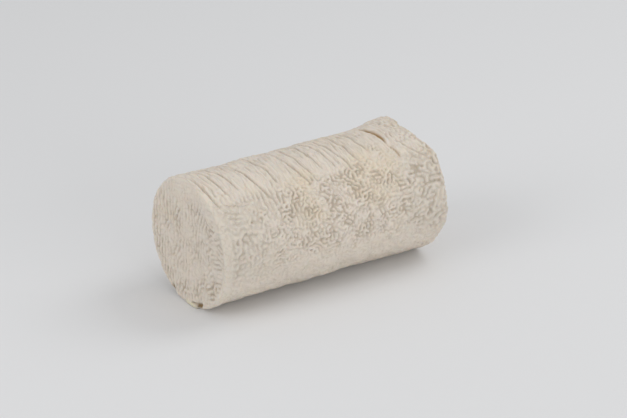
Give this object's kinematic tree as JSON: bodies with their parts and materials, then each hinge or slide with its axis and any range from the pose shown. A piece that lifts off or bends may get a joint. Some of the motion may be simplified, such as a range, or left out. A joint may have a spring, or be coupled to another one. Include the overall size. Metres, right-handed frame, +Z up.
{
  "type": "goat cheese log",
  "caption": "Whole soft goat cheese log lying on its side: a blunt-ended round roll with a pale, finely wrinkled mould rind and a small flat foot to rest on.",
  "frame": {"origin": "on the floor, under the middle of the log's outline box", "axes": "+X along the log from its crisp end to its slumped end, +Z up, -Y toward its front"},
  "size_m": [0.0996, 0.0516, 0.0499],
  "materials": {
    "rind": "matte"
  },
  "bodies": {
    "root": {"cheese_log": "rind"}
  },
  "joints": []
}
